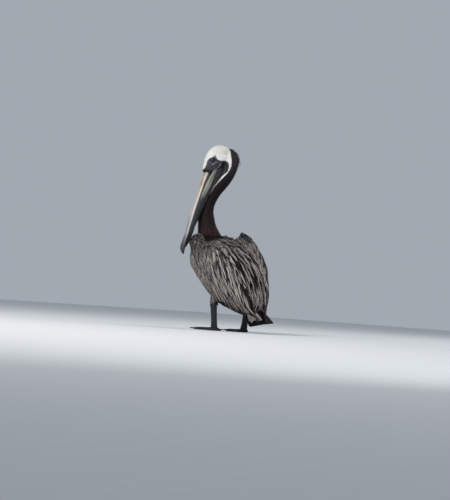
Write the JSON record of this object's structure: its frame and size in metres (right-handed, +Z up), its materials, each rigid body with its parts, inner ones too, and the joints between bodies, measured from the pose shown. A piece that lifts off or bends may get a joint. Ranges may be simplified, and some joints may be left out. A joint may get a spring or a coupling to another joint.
{
  "type": "brown pelican figure",
  "caption": "Life-size brown pelican standing at rest on webbed feet, trunk steep, wings folded, neck in an S and the long bill hanging beside its breast.",
  "frame": {"origin": "on the floor, under the middle of the bird's bounding box", "axes": "+Z up; the trunk faces -Y; +X is the bird's left"},
  "size_m": [0.2396, 0.327, 0.6328],
  "materials": {
    "body_feathers": "matt feathers, silvery grey centres with dark brown edges",
    "flight_feathers": "matt blackish quills",
    "neck_feathers": "velvety dark chestnut feathers",
    "head_feathers": "short creamy white feathers",
    "bill_horn": "satin ivory horn, greyer towards the hooked nail",
    "mandible_horn": "satin grey-olive horn",
    "pouch_skin": "dull creased dark grey skin",
    "leg_skin": "scaly slate-black skin",
    "claw": "worn black horn",
    "eye": "wet, dark"
  },
  "bodies": {
    "root": {"bill_lower": "mandible_horn", "bill_upper": "bill_horn", "claw_left_hind": "claw", "claw_left_inner": "claw", "claw_left_middle": "claw", "claw_left_outer": "claw", "claw_right_hind": "claw", "claw_right_inner": "claw", "claw_right_middle": "claw", "claw_right_outer": "claw", "eye_left": "eye", "eye_right": "eye", "foot_left": "leg_skin", "foot_right": "leg_skin", "head": "head_feathers", "neck_lower": "neck_feathers", "neck_middle": "neck_feathers", "neck_upper": "neck_feathers", "pouch": "pouch_skin", "primaries_left": "flight_feathers", "primaries_right": "flight_feathers", "tail": "flight_feathers", "tarsus_left": "leg_skin", "tarsus_right": "leg_skin", "thigh_left": "body_feathers", "thigh_right": "body_feathers", "trunk": "body_feathers", "wing_left": "body_feathers", "wing_right": "body_feathers"}
  },
  "joints": []
}
